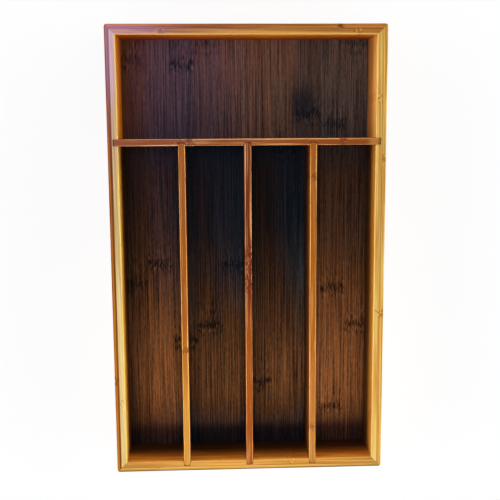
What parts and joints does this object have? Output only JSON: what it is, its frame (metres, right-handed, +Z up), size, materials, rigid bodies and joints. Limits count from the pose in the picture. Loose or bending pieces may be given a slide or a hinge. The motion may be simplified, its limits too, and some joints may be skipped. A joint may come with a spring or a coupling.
{
  "type": "flatware tray",
  "caption": "Open bamboo flatware tray for a kitchen drawer, with one compartment across the far end and a row of equal long compartments below it.",
  "frame": {"origin": "middle of the underside, on the surface that the tray rests on", "axes": "+X across the width, +Y along the length towards the compartment that lies across, +Z up out of the open side"},
  "size_m": [0.267, 0.439, 0.057],
  "materials": {
    "amber_bamboo": "clear satin lacquer over amber bamboo",
    "pale_bamboo": "clear satin lacquer over pale bamboo",
    "dark_bamboo": "dark carbonised bamboo, clear satin lacquer",
    "honey_bamboo": "clear satin lacquer over honey coloured bamboo"
  },
  "bodies": {
    "root": {"left_wall_outer_ply": "amber_bamboo", "left_wall_inner_ply": "pale_bamboo", "right_wall_outer_ply": "amber_bamboo", "right_wall_inner_ply": "pale_bamboo", "back_wall_outer_ply": "amber_bamboo", "back_wall_inner_ply": "pale_bamboo", "front_wall_outer_ply": "amber_bamboo", "front_wall_inner_ply": "pale_bamboo", "base_panel": "dark_bamboo", "cross_divider": "honey_bamboo", "left_long_divider": "honey_bamboo", "middle_long_divider": "honey_bamboo", "right_long_divider": "honey_bamboo"}
  },
  "joints": []
}
